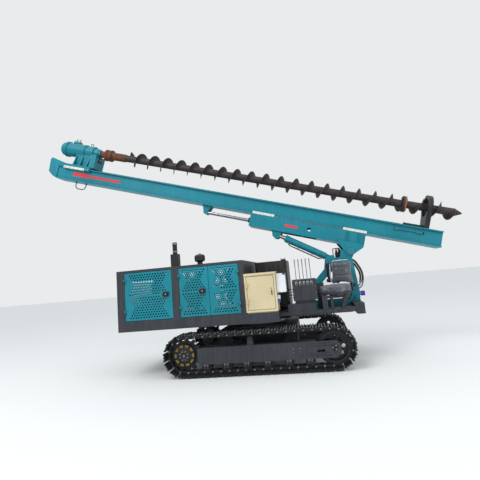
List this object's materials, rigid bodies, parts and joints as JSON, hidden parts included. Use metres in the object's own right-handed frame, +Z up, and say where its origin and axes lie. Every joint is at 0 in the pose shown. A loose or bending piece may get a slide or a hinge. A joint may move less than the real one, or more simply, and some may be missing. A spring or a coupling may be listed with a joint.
{
  "type": "crawler rotary piling rig",
  "caption": "Tracked piling rig with slewing platform, hinged engine housing doors, tilting and sliding mast, travelling rotary head and a long continuous flight auger.",
  "frame": {"origin": "on the ground under the slew axis, midway between the tracks", "axes": "+X towards the mast foot, along the tracks; +Y to the left, away from the operator chair; +Z up"},
  "size_m": [7.6081, 2.13, 4.5279],
  "materials": {
    "grey_paint": "dark grey machine enamel, satin",
    "black_paint": "black machine enamel, semi gloss",
    "teal_paint": "teal machine enamel, semi gloss",
    "beige_paint": "beige powder coat, satin",
    "white_paint": "white powder coat, semi gloss",
    "track_steel": "black painted track steel, worn at the grousers",
    "bare_steel": "machined steel",
    "rod_chrome": "hard chromed cylinder rod",
    "stem_steel": "rusty forged steel",
    "flight_steel": "dark primer on rolled flight, worn",
    "engine_iron": "painted casting",
    "hose_rubber": "black hydraulic hose",
    "film_covered_fabric": "grey upholstery under clear wrapping film",
    "wear_pad": "pale wear strip"
  },
  "bodies": {
    "undercarriage": {"carbody": "grey_paint", "cross_beam_front": "grey_paint", "cross_beam_rear": "grey_paint", "track_frames": "grey_paint", "track_right": "track_steel", "track_left": "track_steel", "sprockets": "track_steel", "idlers": "track_steel", "rollers": "track_steel"},
    "platform": {"slew_ring": "bare_steel", "deck": "grey_paint", "housing": "grey_paint", "engine": "engine_iron", "exhaust_stack": "grey_paint", "air_cleaner": "black_paint", "oil_tank": "black_paint", "cabinet": "beige_paint", "junction_box": "white_paint", "valve_console": "grey_paint", "levers": "bare_steel", "armrest": "film_covered_fabric", "operator_mount": "grey_paint", "operator_cushion": "film_covered_fabric", "operator_backrest": "film_covered_fabric", "tower": "teal_paint", "manifold": "black_paint", "tower_hose_inner": "hose_rubber", "tower_hose_outer": "hose_rubber"},
    "door_rr": {"door_right_rear": "teal_paint"},
    "door_rm": {"door_right_mid": "teal_paint"},
    "door_rf": {"door_right_front": "teal_paint"},
    "door_lr": {"door_left_rear": "teal_paint"},
    "door_lm": {"door_left_mid": "teal_paint"},
    "door_lf": {"door_left_front": "teal_paint"},
    "cabinet_lid": {"cabinet_door": "beige_paint"},
    "barrels": {"cylinder_barrels": "teal_paint"},
    "rods": {"cylinder_rods": "rod_chrome"},
    "carriage_body": {"carriage": "teal_paint", "keeper_pads": "wear_pad", "slide_barrels": "grey_paint"},
    "mast_body": {"mast": "teal_paint", "mast_head": "teal_paint", "feed_chain": "track_steel", "chain_tensioner": "teal_paint", "auger_guide": "black_paint", "slide_bracket": "teal_paint", "slide_rods": "bare_steel", "mast_hose": "hose_rubber"},
    "head_body": {"saddle": "teal_paint", "saddle_pads": "wear_pad", "rotary_head": "teal_paint"},
    "auger": {"auger_stem": "stem_steel", "auger_flight": "flight_steel"}
  },
  "joints": [
    {"name": "slew", "type": "hinge", "parent": "undercarriage", "child": "platform", "pos_m": [0, 0, 0.7], "axis": [0, 0, 1], "continuous": true},
    {"name": "mast_tilt", "type": "hinge", "parent": "platform", "child": "carriage_body", "pos_m": [1.64, 0, 1.734], "axis": [0, 1, 0], "range_deg": [-16.8, 73.2]},
    {"name": "barrel_swing", "type": "hinge", "parent": "platform", "child": "barrels", "pos_m": [1.31, 0, 1.64], "axis": [0, 1, 0], "range_deg": [-18, 78]},
    {"name": "rod_stroke", "type": "slide", "parent": "barrels", "child": "rods", "axis": [-0.8659, 0, 0.5003], "range_m": [-0.086, 0.372]},
    {"name": "mast_slide", "type": "slide", "parent": "carriage_body", "child": "mast_body", "axis": [0.9573, 0, -0.289], "range_m": [-0.35, 0.3]},
    {"name": "head_feed", "type": "slide", "parent": "mast_body", "child": "head_body", "axis": [0.9573, 0, -0.289], "range_m": [0, 5.6]},
    {"name": "auger_spin", "type": "hinge", "parent": "head_body", "child": "auger", "pos_m": [1.92585, 0, 2.68079], "axis": [0.9573, 0, -0.289], "continuous": true},
    {"name": "door_right_rear_swing", "type": "hinge", "parent": "platform", "child": "door_rr", "pos_m": [-2.114, -0.964, 1.2], "axis": [0, 0, -1], "range_deg": [0, 105]},
    {"name": "door_right_mid_swing", "type": "hinge", "parent": "platform", "child": "door_rm", "pos_m": [-1.175, -0.964, 1.2], "axis": [0, 0, -1], "range_deg": [0, 105]},
    {"name": "door_right_front_swing", "type": "hinge", "parent": "platform", "child": "door_rf", "pos_m": [-0.193, -0.964, 1.2], "axis": [0, 0, 1], "range_deg": [0, 90]},
    {"name": "door_left_rear_swing", "type": "hinge", "parent": "platform", "child": "door_lr", "pos_m": [-2.114, 0.964, 1.2], "axis": [0, 0, 1], "range_deg": [0, 105]},
    {"name": "door_left_mid_swing", "type": "hinge", "parent": "platform", "child": "door_lm", "pos_m": [-1.175, 0.964, 1.2], "axis": [0, 0, 1], "range_deg": [0, 105]},
    {"name": "door_left_front_swing", "type": "hinge", "parent": "platform", "child": "door_lf", "pos_m": [-0.193, 0.964, 1.2], "axis": [0, 0, -1], "range_deg": [0, 90]},
    {"name": "cabinet_door_swing", "type": "hinge", "parent": "platform", "child": "cabinet_lid", "pos_m": [-0.078, -0.964, 1.2], "axis": [0, 0, -1], "range_deg": [0, 90]}
  ],
  "couplings": [
    {"joint": "barrel_swing", "follows": "mast_tilt", "ratio": 1.06},
    {"joint": "rod_stroke", "follows": "mast_tilt", "m_per_rad": 0.2903}
  ]
}
